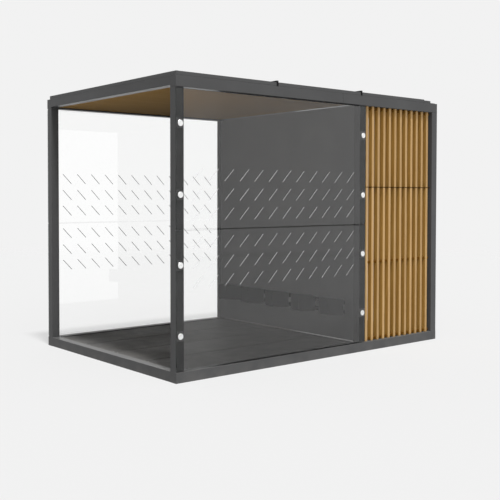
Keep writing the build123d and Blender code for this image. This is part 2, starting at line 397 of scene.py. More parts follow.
def coated_steel(name, colour, roughness, shine=0.15, wear_and_highlight=0.35, dust=0.12, bump_size=0.0016, bump_depth=0.00002):
    """Powder coat: a tone that drifts, paler edges of wear and painted highlight, settled dust and a skin of fine
    bumps.
    """
    finish, tree, shader = start_finish(name, Metallic=0.0, Specular_IOR_Level=shine)
    coat = place_group(tree, coat_texture, {"Bump size": bump_size})
    dark, pale = (tuple(c * k for c in colour) + (1.0,) for k in (0.93, 1.07))
    tone = blend_colours(tree, remap(tree, coat["Tone"], 0.35, 0.65), dark, pale)
    # Paler edges, partly wear and partly painted highlight.
    edges = place_group(tree, edge_wear_and_highlight, {"Amount": wear_and_highlight, "Width": 0.0022})
    tone = blend_colours(tree, edges["Mask"], tone, WEAR_AND_HIGHLIGHT_COLOUR)
    film = place_group(tree, settled_dust, {"On top": dust, "Splash": dust})
    tone = blend_colours(tree, film["Mask"], tone, DUST_COLOUR)
    duller = maths(tree, "MULTIPLY", film["Mask"], 0.4)
    gloss = remap(tree, coat["Tone"], 0.3, 0.7, roughness - 0.03, roughness + 0.03)
    feed(shader, Base_Color=tone, Roughness=maths(tree, "ADD", gloss, duller, clamp=True))
    add_bump(tree, shader, coat["Height"], bump_depth)
    return finish


frame_coat = coated_steel("Frame_coat", (0.098, 0.0985, 0.0995), 0.3, shine=0.08)
roof_coat = coated_steel("Roof_coat", (0.092, 0.0925, 0.0935), 0.5, dust=0.12)
cover_coat = coated_steel("Cover_coat", (0.006, 0.006, 0.006), 0.5, shine=0.1, wear_and_highlight=0.2, dust=0.05)
partition_coat = coated_steel("Partition_coat", (0.20, 0.20, 0.203), 0.7, wear_and_highlight=0.15, dust=0.05, bump_depth=0.000002)
rack_coat = coated_steel("Rack_coat", (0.005, 0.005, 0.0055), 0.5, shine=0.08, wear_and_highlight=0.1, dust=0.03)
# The spacers are real, but their dark brown is the colour of the slats in shade: partly painted shade in the gaps.
spacer_and_shade_coat = coated_steel("Spacer_and_shade_coat", (0.13, 0.055, 0.006), 0.5, shine=0.03, wear_and_highlight=0.0, dust=0.0)
transom_coat = coated_steel("Transom_coat", (0.052, 0.022, 0.0025), 0.5, shine=0.03, wear_and_highlight=0.0, dust=0.0)

# %% [markdown]
# The slats are planed softwood with a warm oil, the ceiling is brown boarding, and the joists are sawn and never
# seen well. The same grain group serves all three, squeezed along the way the boards run.

# %% Woods
ALONG_X, ALONG_Y, ALONG_Z = (0.05, 1.0, 1.0), (1.0, 0.05, 1.0), (1.0, 1.0, 0.05)


def oiled_wood(name, pale, deep, along, roughness, shine=0.2, ring_width=0.018, depth=0.0003, board_spread=0.16,
               shaded_sides=(1.0, 1.0, 1.0)):
    """Wood with soft rings, fine fibres and its own tone on each board. Painted shade tints sides that look along X.
    """
    finish, tree, shader = start_finish(name, Specular_IOR_Level=shine)
    grain = place_group(tree, wood_grain, {"Squeeze": along, "Ring width": ring_width})
    rings = remap(tree, grain["Rings"], 0.34, 0.66)
    tone = blend_colours(tree, rings, pale + (1.0,), deep + (1.0,))
    fibres = remap(tree, grain["Fibres"], 0.35, 0.7, 1.06, 0.84)
    board = remap(tree, grain["Board"], 0.0, 1.0, 1 - board_spread / 2, 1 + board_spread / 2)
    strength = maths(tree, "MULTIPLY", fibres, board)
    # Painted shade: sides that look along X, which on the slats face into the gaps, are tinted darker and warmer.
    shaded_side_share = maths(tree, "ABSOLUTE", parts_of(tree, facing(tree))["X"])
    tone = blend_colours(tree, shaded_side_share, tone, blend_colours(tree, 1.0, tone, shaded_sides + (1.0,), "MULTIPLY"))
    tone = add_node(tree, "ShaderNodeVectorMath", {0: tone, "Scale": strength}, operation="SCALE").outputs[0]
    duller = remap(tree, grain["Fibres"], 0.3, 0.7, roughness - 0.06, roughness + 0.08)
    feed(shader, Base_Color=tone, Roughness=duller)
    add_bump(tree, shader, grain["Fibres"], depth, 0.6)
    return finish


# On the slats the side tint is painted shade, for the sides in the narrow gaps.
slat_wood = oiled_wood("Slat_wood", (0.585, 0.376, 0.163), (0.481, 0.289, 0.111), ALONG_Z, 0.55, shine=0.5,
                       shaded_sides=(1.03, 0.93, 0.5))
ceiling_wood = oiled_wood("Ceiling_wood", (0.36, 0.21, 0.064), (0.32, 0.185, 0.054), ALONG_X, 0.6, shine=0.02,
                          ring_width=0.03, board_spread=0.06)
joist_wood = oiled_wood("Joist_wood", (0.42, 0.31, 0.20), (0.33, 0.23, 0.14), ALONG_Y, 0.75)

# %% [markdown]
# The floor is laid in dark sheets with a raised pattern against slipping. The pattern is a few millimetres wide, far
# too fine for geometry, so it is a bump made of two crossed sets of ridges. Where the floor is walked on, the ridges
# are rubbed paler.

# %% Floor sheet
RIDGE_PITCH = 0.0065
RIDGE_HEIGHT = 0.0005


def ridges(tree, along):
    """Parallel ridges across one axis, as a height from 0 to 1."""
    turn = maths(tree, "MULTIPLY", along, 2 * math.pi / RIDGE_PITCH)
    return maths(tree, "POWER", remap(tree, maths(tree, "SINE", turn), -1.0, 1.0), 3.0)


floor_sheet, tree, shader = start_finish("Floor_sheet", Specular_IOR_Level=0.05)
spot = parts_of(tree, place_of(tree))
crossed = maths(tree, "MAXIMUM", ridges(tree, maths(tree, "ADD", spot["X"], spot["Y"])),
                ridges(tree, maths(tree, "SUBTRACT", spot["X"], spot["Y"])))
used = remap(tree, noise(tree, place_of(tree), 1.7, 5.0), 0.42, 0.66)
sheet_tone = add_node(tree, "ShaderNodeAttribute", attribute_name=BOARD_TONE)
dark = blend_colours(tree, sheet_tone.outputs["Fac"], (0.103, 0.102, 0.099, 1), (0.119, 0.118, 0.114, 1))
rubbed = maths(tree, "MULTIPLY", maths(tree, "MULTIPLY", used, crossed), 0.45)
dark = blend_colours(tree, rubbed, dark, (0.16, 0.157, 0.15, 1))
film = place_group(tree, settled_dust, {"On top": 0.16, "Splash": 0.0})
feed(shader, Base_Color=blend_colours(tree, film["Mask"], dark, DUST_COLOUR),
     Roughness=remap(tree, used, 0.0, 1.0, 0.5, 0.62))
add_bump(tree, shader, crossed, RIDGE_HEIGHT, 0.7)

# %% [markdown]
# Clear glass bends the view and mirrors the pale room, which greys the dark wall behind it. A pane would also block
# the lamps, because a path tracer can't aim through it, so shadow rays and diffuse rays get a plain tinted window. It
# is far darker than real glass, because the photograph shows a bright floor only where the open end lets light in.

# %% Glass


def clear_glass(name, colour, roughness, shadow_tint):
    """Glass for the lens, and a plain tinted window for rays that only carry light about."""
    finish, tree, shader = start_finish(name, Base_Color=colour, Roughness=roughness, IOR=1.45, Metallic=0.0,
                                        Transmission_Weight=1.0)
    ray = add_node(tree, "ShaderNodeLightPath").outputs
    window = add_node(tree, "ShaderNodeBsdfTransparent", {"Color": shadow_tint})
    indirect = maths(tree, "MAXIMUM", ray["Is Shadow Ray"], ray["Is Diffuse Ray"])
    either = blend_shaders(tree, indirect, shader, window)
    tree.links.new(either.outputs[0], tree.nodes["Material Output"].inputs["Surface"])
    return finish


pane_glass = clear_glass("Pane_glass", (0.997, 1.0, 0.998, 1), 0.0, (0.05, 0.051, 0.05, 1))
edge_glass = clear_glass("Edge_glass", (0.30, 0.46, 0.40, 1), 0.12, (0.5, 0.6, 0.55, 1))

# %% [markdown]
# The strokes on the panes are fired ceramic ink, satin with a faint grain. At the front the ink is a thin white
# film, which greys a dark background and vanishes before a pale one. At the back the face of the ink that looks into
# the shelter is near black, so that it shows against the light: painted shade, for the unlit back of the print. The
# clamps that hold the glass are turned steel: fine rings from the lathe run round their faces. Rubber and foam are
# matt black.

# %% Print, steel and rubber


def fired_ink(name, dark, pale, cover=1.0):
    """Ink with a fine grain. The cover is the share of the light that one face of a stroke holds back."""
    finish, tree, shader = start_finish(name, Roughness=0.6, Alpha=cover)
    dots = noise(tree, place_of(tree), 1400.0, 1.0)
    feed(shader, Base_Color=blend_colours(tree, remap(tree, dots, 0.35, 0.65), grey(dark), grey(pale)))
    add_bump(tree, shader, dots, 0.00004)
    return finish


white_film = fired_ink("White_film", 0.86, 0.92, cover=0.29)
stroke_ink = fired_ink("Stroke_ink", 0.44, 0.52)
# Painted shade: the inward face of the back strokes, unlit against the light.
inner_shade_ink = fired_ink("Inner_shade_ink", 0.015, 0.03)

CLAMP_CENTRE = "turning_radius"
TURNING_MARKS = 2600.0
turned_steel, tree, shader = start_finish("Turned_steel", Metallic=1.0)
radius = add_node(tree, "ShaderNodeAttribute", attribute_name=CLAMP_CENTRE)
turns = {"W": maths(tree, "MULTIPLY", radius.outputs["Fac"], TURNING_MARKS), "Scale": 1.0, "Detail": 2.0}
wobble = add_node(tree, "ShaderNodeTexNoise", turns, noise_dimensions="1D").outputs[0]
tone = blend_colours(tree, remap(tree, wobble, 0.3, 0.7), (0.99, 0.99, 0.985, 1), (0.93, 0.93, 0.925, 1))
feed(shader, Base_Color=tone, Roughness=remap(tree, wobble, 0.3, 0.7, 0.22, 0.38))
add_bump(tree, shader, wobble, 0.00003)


def soft_black(name, shine):
    """Rubber or foam: almost black, dull, with a fine grain."""
    finish, tree, shader = start_finish(name, Specular_IOR_Level=shine)
    coat = place_group(tree, coat_texture, {"Bump size": 0.0009, "Patch size": 0.06})
    feed(shader, Base_Color=blend_colours(tree, coat["Tone"], grey(0.008), grey(0.016)),
         Roughness=remap(tree, coat["Tone"], 0.3, 0.7, 0.7, 0.85))
    add_bump(tree, shader, coat["Height"], 0.0001)
    return finish


black_rubber = soft_black("Black_rubber", 0.5)
glazing_tape = soft_black("Glazing_tape", 0.85)

zinc_steel, tree, shader = start_finish("Zinc_steel", Metallic=1.0)
coat = place_group(tree, coat_texture, {"Bump size": 0.0006, "Patch size": 0.01})
feed(shader, Base_Color=blend_colours(tree, coat["Tone"], grey(0.36), grey(0.55)),
     Roughness=remap(tree, coat["Tone"], 0.3, 0.7, 0.35, 0.55))
print("finishes", len([m for m in bpy.data.materials if m.use_nodes]))

# %% [markdown]
# ## Dress the solids
# A solid whose shape is already right only needs its finish. The rest get it too, so that nothing is left plain.

# %% Finishes of the solids
FINISH_OF_SLOT = {
    "frame_steel": frame_coat,
    "glass": pane_glass,
    "fixing_steel": turned_steel,
    "glazing_tape": glazing_tape,
    "slat_wood": slat_wood,
    "ceiling_wood": ceiling_wood,
    "joist_wood": joist_wood,
    "floor_boards": floor_sheet,
    "roof_cover": cover_coat,
    "roof_sheet": roof_coat,
    "partition_sheet": partition_coat,
    "rack_steel": rack_coat,
    "spacer_steel": spacer_and_shade_coat,
}
slot_of_node = {part["node"]: part["material_slot"] for part in frame["record"]["subparts"]}
for name, solid in frame["nodes"].items():
    solid.data.materials.clear()
    solid.data.materials.append(FINISH_OF_SLOT[slot_of_node[name]])
print("dressed", len(slot_of_node), "solids")

# %% [markdown]
# ## Making pieces
# Everything that follows is a mesh made in code. A board is a box with rounded edges, because no real board is
# perfectly sharp and the rounding is what catches the light. Only the rounding is shaded smooth. The wide faces stay
# flat, or their shading would bulge. Many boards share one mesh, and each carries its own number for the wood to
# vary by.

# %% Mesh helpers
numbers = random.Random(11)


def new_mesh():
    """An empty mesh to build in, with a number on each point for the tone of its board."""
    making = bmesh.new()
    making.verts.layers.float.new(BOARD_TONE)
    return making


def round_edges(making, edges, rounding, segments=2):
    """Rounds some edges of a mesh, and shades only the rounding smooth."""
    rounded = bmesh.ops.bevel(making, geom=edges, offset=rounding, segments=segments, profile=0.5, affect="EDGES")
    for face in rounded["faces"]:
        face.smooth = True


def add_board(making, low, high, rounding, segments=2):
    """A box from its lowest to its highest corner, with rounded edges and a tone of its own."""
    low, high = Vector(low), Vector(high)
    first = len(making.verts)
    shape = Matrix.Translation((low + high) / 2) @ Matrix.Diagonal((*(high - low), 1.0))
    corners = bmesh.ops.create_cube(making, size=1.0, matrix=shape)["verts"]
    edges = list({edge for corner in corners for edge in corner.link_edges})
    if rounding:
        round_edges(making, edges, rounding, segments)
    making.verts.ensure_lookup_table()
    tone = numbers.random()
    layer = making.verts.layers.float[BOARD_TONE]
    for point in making.verts[first:]:
        point[layer] = tone


def finish_piece(name, making, finishes, replaces=(), body="root", smooth=None):
    """Turns a mesh in the making into a named piece on its body, in place of any nodes it stands for."""
    mesh = bpy.data.meshes.new(name)
    bmesh.ops.recalc_face_normals(making, faces=making.faces)
    making.to_mesh(mesh)
    making.free()
    if smooth is not None:
        mesh.shade_smooth()
        mesh.set_sharp_from_angle(angle=math.radians(smooth))
    for finish in finishes if isinstance(finishes, (list, tuple)) else [finishes]:
        mesh.materials.append(finish)
    piece = add_object(name, mesh)
    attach(piece, body)
    if replaces:
        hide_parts(*replaces)
    print(name, len(mesh.polygons), "faces")


# %% [markdown]
# ## Floor
# Each bay is laid with four sheets across its depth, so the joints run the long way. A rubber seal lies deep in every
# joint and keeps it dark. Screws hold every sheet down along its two long edges.

# %% Floor sheets
SHEETS_ACROSS = 4
SHEET_JOINT = 0.009
SHEET_ROUNDING = 0.002
SEAL_DEPTH = 0.004
FLOOR_SCREWS = {"main": 7, "small": 4}
FLOOR_SCREW_INSET = 0.03


def spread(low, high, count):
    """Places at equal distances from low to high, both ends among them."""
    return [low + (high - low) * i / (count - 1) for i in range(count)]


floor_screw_places = []
for bay, screw_count in FLOOR_SCREWS.items():
    low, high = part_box(f"floor_{bay}")
    width = (high.y - low.y) / SHEETS_ACROSS
    sheets, seals = new_mesh(), new_mesh()
    for i in range(SHEETS_ACROSS):
        front, back = low.y + i * width, low.y + (i + 1) * width
        if i:
            add_board(seals, (low.x, front - SHEET_JOINT / 2, low.z + SEAL_DEPTH),
                      (high.x, front + SHEET_JOINT / 2, high.z - SEAL_DEPTH), 0)
        add_board(sheets, (low.x, front + SHEET_JOINT / 2, low.z), (high.x, back - SHEET_JOINT / 2, high.z),
                  SHEET_ROUNDING)
        for x in spread(low.x + FLOOR_SCREW_INSET, high.x - FLOOR_SCREW_INSET, screw_count):
            for y in (front + FLOOR_SCREW_INSET, back - FLOOR_SCREW_INSET):
                floor_screw_places.append(Vector((x, y, high.z)))
    finish_piece(f"Floor_sheets_{bay}", sheets, floor_sheet, [f"floor_{bay}"])
    finish_piece(f"Floor_seals_{bay}", seals, black_rubber)

# %% [markdown]
# ## Ceiling
# The ceiling is tongued boarding. Only the V of each joint shows, so neighbouring boards touch and their rounded
# edges make the groove.

# %% Ceiling boards
CEILING_BOARDS = 16
CEILING_ROUNDING = 0.0012

for bay in ("main", "small"):
    low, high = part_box(f"ceiling_{bay}")
    width = (high.y - low.y) / CEILING_BOARDS
    boards = new_mesh()
    for i in range(CEILING_BOARDS):
        add_board(boards, (low.x, low.y + i * width, low.z), (high.x, low.y + (i + 1) * width, high.z),
                  CEILING_ROUNDING)
    finish_piece(f"Ceiling_boards_{bay}", boards, ceiling_wood, [f"ceiling_{bay}"])

# %% [markdown]
# ## Slats
# A slat is a planed bar with its edges taken off by a millimetre. The places come from the frame: its
# slats form separate islands, and the lowest and highest corner of each island is all that a new slat needs.

# %% Slats
SLAT_ROUNDING = 0.001
SAME_POINT = 0.00001
# The way along Y that leads out of the shelter, on each long side
SIDES = {"front": -1, "back": 1}


def copy_of(node):
    """A mesh in the making with the shape of a node, its triangles joined up."""
    making = bmesh.new()
    making.from_mesh(frame["nodes"][node].data)
    bmesh.ops.remove_doubles(making, verts=making.verts, dist=SAME_POINT)
    return making


def islands(node):
    """Lowest and highest corner of each separate solid of a node, from left to right and from below."""
    making = copy_of(node)
    left = set(making.verts)
    found = []
    while left:
        reached = [left.pop()]
        # The list grows while the loop runs through it, until no new point hangs on.
        for point in reached:
            near = {line.other_vert(point) for line in point.link_edges} & left
            left -= near
            reached += near
        low = Vector([min(p.co[i] for p in reached) for i in range(3)])
        high = Vector([max(p.co[i] for p in reached) for i in range(3)])
        found.append((low, high))
    making.free()
    return sorted(found, key=lambda pair: tuple(round(v, 4) for v in pair[0]))


for side in SIDES:
    slats = new_mesh()
    for low, high in islands(f"slats_{side}"):
        add_board(slats, low, high, SLAT_ROUNDING)
    finish_piece(f"Slats_{side}", slats, slat_wood, [f"slats_{side}"])

# %% [markdown]
# ## Glass
# A pane is a flat sheet with round bores and ground edges. A filled 2D curve gives all of that at once: one
# rectangle, one circle for each bore, an extrusion for the thickness and a small bevel for the ground edge. Faces
# that look sideways get the greener edge glass.

# %% Panes
GROUND_EDGE = 0.0008
BORE_RADIUS = 0.009
BORE_STEPS = 32
PANE_FACE = 0.9


def closed_line(outline, points):
    """Adds a closed straight-sided line to a flat curve."""
    line = outline.splines.new("POLY")
    line.points.add(len(points) - 1)
    for target, (x, y) in zip(line.points, points):
        target.co = (x, y, 0.0, 1.0)
    line.use_cyclic_u = True


def pane_mesh(name, low, high, bores):
    """A pane between two corners, standing in the XZ plane, with round bores."""
    outline = bpy.data.curves.new(name, "CURVE")
    outline.dimensions = "2D"
    outline.fill_mode = "BOTH"
    thickness = high.y - low.y
    outline.extrude = thickness / 2 - GROUND_EDGE
    outline.bevel_depth = GROUND_EDGE
    outline.bevel_resolution = 1
    outline.offset = -GROUND_EDGE
    closed_line(outline, [(low.x, low.z), (high.x, low.z), (high.x, high.z), (low.x, high.z)])
    for x, z in bores:
        ring = [2 * math.pi * i / BORE_STEPS for i in range(BORE_STEPS)]
        closed_line(outline, [(x + BORE_RADIUS * math.cos(a), z + BORE_RADIUS * math.sin(a)) for a in ring])
    holder = bpy.data.objects.new(name, outline)
    mesh = bpy.data.meshes.new_from_object(holder)
    bpy.data.objects.remove(holder)
    stand = Matrix.Translation((0, (low.y + high.y) / 2, 0)) @ Matrix.Rotation(math.pi / 2, 4, "X")
    mesh.transform(stand)
    return mesh


clamp_places = {}
for side in SIDES:
    centres = [(low + high) / 2 for low, high in islands(f"fixings_{side}")]
    clamp_places[side] = centres
    for level in ("lower", "upper"):
        low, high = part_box(f"glass_{side}_{level}")
        bores = [(c.x, c.z) for c in centres if low.z < c.z < high.z]
        making = bmesh.new()
        making.from_mesh(pane_mesh(f"outline_{side}_{level}", low, high, bores))
        bmesh.ops.remove_doubles(making, verts=making.verts, dist=SAME_POINT / 10)
        for face in making.faces:
            face.material_index = 0 if abs(face.normal.y) > PANE_FACE else 1
        finish_piece(f"Pane_{side}_{level}", making, [pane_glass, edge_glass], [f"glass_{side}_{level}"])
        print("bores", len(bores))

# %% [markdown]
# ## Printed strokes
# Short slanting strokes make the clear panes visible. They are printed in six rows of twelve on the outer face of
# each side, three rows above the joint between the panes and three below. A stroke is a thin strip of ink with
# round ends, so it is a flat outline and not a texture.

# %% Strokes
STROKE_COLUMNS = 12
STROKE_PITCH = 0.1612
STROKE_MIDDLE = 1.099
STROKE_ROWS = (1.633, 1.475, 1.318, 1.094, 0.934, 0.781)
STROKE_RUN = 0.096
STROKE_RISE = 0.097
STROKE_WIDTH = 0.0054
INK_THICKNESS = 0.0003
INK_GAP = 0.00002
ROUND_END_STEPS = 6


def pull(making, face, y):
    """Extrudes a face that looks along Y to another place on Y, and returns what this adds."""
    added = bmesh.ops.extrude_face_region(making, geom=[face])["geom"]
    for item in added:
        if isinstance(item, bmesh.types.BMVert):
            item.co.y = y
    return added


def add_stroke(making, centre, outward):
    """One stroke with round ends, which rises to the right for whoever stands outside. Its inner face is finish 1."""
    along = Vector((-outward * STROKE_RUN, 0, STROKE_RISE)).normalized()
    across = Vector((-along.z, 0, along.x))
    reach = math.hypot(STROKE_RUN, STROKE_RISE) / 2 - STROKE_WIDTH / 2
    rim = []
    for end, start in ((1, -math.pi / 2), (-1, math.pi / 2)):
        for i in range(ROUND_END_STEPS + 1):
            turn = start + math.pi * i / ROUND_END_STEPS
            rim.append(centre + along * (end * reach + STROKE_WIDTH / 2 * math.cos(turn))
                       + across * (STROKE_WIDTH / 2 * math.sin(turn)))
    face = making.faces.new([making.verts.new(point) for point in rim])
    face.material_index = 1
    for item in pull(making, face, centre.y + outward * INK_THICKNESS):
        if isinstance(item, bmesh.types.BMFace):
            item.material_index = 0


frame_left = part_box("base_beam_front")[0].x
for side, outward, inks in (("front", -1, [white_film, white_film]), ("back", 1, [stroke_ink, inner_shade_ink])):
    low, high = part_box(f"glass_{side}_upper")
    face_y = low.y if outward < 0 else high.y
    strokes = bmesh.new()
    for row in STROKE_ROWS:
        for column in range(STROKE_COLUMNS):
            x = frame_left + STROKE_MIDDLE + (column - (STROKE_COLUMNS - 1) / 2) * STROKE_PITCH
            add_stroke(strokes, Vector((x, face_y + outward * INK_GAP, row)), outward)
    finish_piece(f"Strokes_{side}", strokes, inks)

# %% [markdown]
# ## Clamps
# Each clamp is turned on a lathe, so a profile is spun round its axis: a rubber washer on the glass, a thick disc
# with a chamfer and a slightly crowned face, and a hexagon socket in the middle. Its finish reads how far each
# point lies from the axis, which draws the turning marks.

# %% Lathe helper
LATHE_STEPS = 48


def add_turned(making, profile, centre, outward, finish=0, steps=LATHE_STEPS):
    """Spins a profile of (radius, height) pairs about a line through centre that points outward."""
    layer = making.verts.layers.float.get(CLAMP_CENTRE) or making.verts.layers.float.new(CLAMP_CENTRE)
    tilt = Vector((0, 1, 0)).rotation_difference(outward)
    rings = []
    for radius, height in profile:
        ring = []
        for i in range(1 if radius == 0 else steps):
            turn = 2 * math.pi * i / steps
            arm = Vector((radius * math.cos(turn), height, radius * math.sin(turn)))
            point = making.verts.new(centre + tilt @ arm)
            point[layer] = radius
            ring.append(point)
        rings.append(ring)
    for one, two in zip(rings, rings[1:]):
        for i in range(steps):
            corners = [one[i % len(one)], one[(i + 1) % len(one)], two[(i + 1) % len(two)], two[i % len(two)]]
            corners = list(dict.fromkeys(corners))
            if len(corners) > 2:
                making.faces.new(corners).material_index = finish


# %% Clamps on the glass
DISC_RADIUS = 0.025
DISC_HEIGHT = 0.007
DISC_CHAMFER = 0.0015
DISC_CROWN = 0.0004
WASHER = 0.0012
WASHER_INSET = 0.0004
SOCKET_RADIUS = 0.0062
SOCKET_LEAD = 0.0012
SOCKET_RIM = 0.0006
SOCKET_DEPTH = 0.002
STEM_RADIUS = 0.008
HEXAGON = 6

face = DISC_HEIGHT - DISC_CROWN
disc = [(STEM_RADIUS, WASHER), (DISC_RADIUS, WASHER), (DISC_RADIUS, face - DISC_CHAMFER),
        (DISC_RADIUS - DISC_CHAMFER, face), (SOCKET_RADIUS + SOCKET_LEAD, DISC_HEIGHT - DISC_CROWN / 4),
        (SOCKET_RADIUS, DISC_HEIGHT - SOCKET_RIM)]
socket = [(SOCKET_RADIUS, DISC_HEIGHT - SOCKET_RIM), (SOCKET_RADIUS, DISC_HEIGHT - SOCKET_DEPTH),
          (0, DISC_HEIGHT - SOCKET_DEPTH)]
washer = [(STEM_RADIUS, 0.0), (DISC_RADIUS - 2 * WASHER_INSET, 0.0), (DISC_RADIUS - WASHER_INSET, WASHER / 2),
          (DISC_RADIUS - 2 * WASHER_INSET, WASHER), (STEM_RADIUS, WASHER)]
for side, outward in SIDES.items():
    clamps = bmesh.new()
    low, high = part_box(f"fixings_{side}")
    pane_low, pane_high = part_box(f"glass_{side}_upper")
    foot, outer = (high.y, pane_low.y) if outward < 0 else (low.y, pane_high.y)
    length = abs(foot - outer)
    stem = [(0, -length), (STEM_RADIUS, -length), (STEM_RADIUS, WASHER)]
    away = Vector((0, outward, 0))
    for place in clamp_places[side]:
        on_glass = Vector((place.x, outer, place.z))
        add_turned(clamps, disc, on_glass, away)
        add_turned(clamps, socket, on_glass, away, steps=HEXAGON)
        add_turned(clamps, washer, on_glass, away, finish=1)
        add_turned(clamps, stem, on_glass, away)
    finish_piece(f"Clamps_{side}", clamps, [turned_steel, black_rubber], [f"fixings_{side}"],
                 smooth=35)

# %% [markdown]
# ## Screws
# Small heads hold the floor sheets: low domes with a dimple, turned on the same lathe. Their shape is written as
# shares of the radius and the rise.

# %% Screws
SCREW_RADIUS = 0.0048
SCREW_RISE = 0.0011
SCREW_STEPS = 14
SCREW_SHAPE = ((1.0, 0.0), (0.97, 0.5), (0.75, 0.9), (0.42, 1.0), (0.36, 0.2), (0, 0.1))
UP = Vector((0, 0, 1))

dome = [(SCREW_RADIUS * across, SCREW_RISE * up) for across, up in SCREW_SHAPE]
screws = bmesh.new()
for place in floor_screw_places:
    add_turned(screws, dome, place, UP, steps=SCREW_STEPS)
finish_piece("Floor_screws", screws, zinc_steel, smooth=35)

# %% [markdown]
# ## Softened solids
# Plates and folded strips have the right shape already, but their edges are mathematically sharp. A copy of the
# solid's mesh is cleaned up until each flat side is one face, and then its sharp edges are rounded by a millimetre or
# so. The copy stands in for the solid, at exactly the same place.

# %% Rounded copies
SHARP_TURN = math.radians(20)


def finish_rounded(name, node, rounding, finish):
    """A piece that stands in for a node, with every sharp edge of its solids rounded."""
    making = copy_of(node)
    bmesh.ops.dissolve_limit(making, angle_limit=math.radians(1), verts=making.verts, edges=making.edges)
    sharp = [edge for edge in making.edges if len(edge.link_faces) == 2 and edge.calc_face_angle(0) > SHARP_TURN]
    round_edges(making, sharp, rounding)
    finish_piece(name, making, finish, [node])


# %% [markdown]
# ## Top beam in two lengths
# Each of the long top beams is made of two lengths of tube, and a fine joint shows where they meet. A sleeve inside
# joins them, so nothing shows through the joint but a dark line.

# %% Top beams
JOINT_PLACE = 0.243
JOINT_WIDTH = 0.0016
TUBE_ROUNDING = 0.003
SLEEVE_INSET = 0.005
SLEEVE_REACH = 0.06
SLEEVE_ROUNDING = 0.001

for side in SIDES:
    low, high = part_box(f"top_beam_{side}")
    beam = new_mesh()
    left_end, right_start = JOINT_PLACE - JOINT_WIDTH / 2, JOINT_PLACE + JOINT_WIDTH / 2
    add_board(beam, low, (left_end, high.y, high.z), TUBE_ROUNDING, segments=3)
    add_board(beam, (right_start, low.y, low.z), high, TUBE_ROUNDING, segments=3)
    inside = Vector((0, SLEEVE_INSET, SLEEVE_INSET))
    reach = Vector((SLEEVE_REACH, 0, 0))
    add_board(beam, Vector((JOINT_PLACE, low.y, low.z)) + inside - reach,
              Vector((JOINT_PLACE, high.y, high.z)) - inside + reach, SLEEVE_ROUNDING)
    finish_piece(f"Top_beam_{side}", beam, frame_coat, [f"top_beam_{side}"])

# %% [markdown]
# ## Roof
# A roof sheet is a shallow tray. Its rim is flat, and between the rims the pan lies a few millimetres lower, with
# ribs pressed up out of it so that it can't drum in the wind. The section across the ribs is drawn once and pulled
# along the tray. The cover strips over the joints and the trim at the right end are folded from thin sheet.

# %% Roof sheets
ROOF_RIM = 0.045
RIB_RISE = 0.004
RIB_TOP = 0.032
RIB_SLOPE = 0.012
RIB_PITCH = 0.17
ROOF_ROUNDING = 0.0015
COVER_ROUNDING = 0.001


def rib_middles(low_x, high_x):
    """Places of the ribs that fit between two rims, at equal distances."""
    clear = high_x - low_x - 2 * ROOF_RIM
    count = max(1, round(clear / RIB_PITCH) - 1)
    return [low_x + ROOF_RIM + clear * (i + 1) / (count + 1) for i in range(count)]


def add_tray(making, low, high):
    """A roof tray with a rim along its front and its two sides, and ribs that run from front to back."""
    pan = high.z - RIB_RISE
    outline = [(low.x, low.z), (low.x, high.z), (low.x + ROOF_RIM, high.z), (low.x + ROOF_RIM + RIB_SLOPE, pan)]
    for middle in rib_middles(low.x, high.x):
        half = RIB_TOP / 2
        outline += [(middle - half - RIB_SLOPE, pan), (middle - half, high.z), (middle + half, high.z),
                    (middle + half + RIB_SLOPE, pan)]
    outline += [(high.x - ROOF_RIM - RIB_SLOPE, pan), (high.x - ROOF_RIM, high.z), (high.x, high.z), (high.x, low.z)]
    pull(making, making.faces.new([making.verts.new((x, low.y + ROOF_RIM, z)) for x, z in outline]), high.y)
    add_board(making, low, (high.x, low.y + ROOF_RIM, high.z), ROOF_ROUNDING)


for name in ("left", "middle", "right"):
    tray = new_mesh()
    add_tray(tray, *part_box(f"roof_panel_{name}"))
    finish_piece(f"Roof_sheet_{name}", tray, roof_coat, [f"roof_panel_{name}"])
for name, finish, slot in (("left", cover_coat, "roof_cover"), ("middle", cover_coat, "roof_cover"),
                           ("right", frame_coat, "frame_steel")):
    finish_rounded(f"Roof_cover_{name}", f"roof_cover_{name}", COVER_ROUNDING, finish)

# %% [markdown]
# Between the trim at the right end and the top beam lies a slot. A flashing with a low upstand carries the water over
# it. It is folded from one flat sheet, so two thin boards that touch are all it takes.

# %% Roof flashing
FLASHING_SHEET = 0.002
FLASHING_LAP = 0.045
FLASHING_UPSTAND = 0.015
FLASHING_ROUNDING = 0.0004

trim_low, trim_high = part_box("roof_cover_right")
beam_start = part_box("top_beam_right")[0].x
sheet_top = trim_low.z + FLASHING_SHEET
flashing = new_mesh()
add_board(flashing, (trim_high.x, trim_low.y, trim_low.z), (beam_start + FLASHING_LAP, trim_high.y, sheet_top),
          FLASHING_ROUNDING)
add_board(flashing, (trim_high.x, trim_low.y, sheet_top),
          (trim_high.x + FLASHING_SHEET, trim_high.y, trim_low.z + FLASHING_UPSTAND), FLASHING_ROUNDING)
finish_piece("Roof_flashing", flashing, frame_coat)

# %% [markdown]
# Hexagon screws with a sealing washer hold the roof sheets. They go through the ribs, because water runs in the
# pans. A head is turned with six steps instead of many, which is all that a hexagon is.

# %% Roof screws
HEXAGON_RADIUS = 0.0052
HEXAGON_HEIGHT = 0.0045
CHAMFER_ACROSS, CHAMFER_DOWN = 0.0009, 0.0007
SEAL_RADIUS = 0.008
SEAL_HEIGHT = 0.0016
SEAL_STEPS = 16


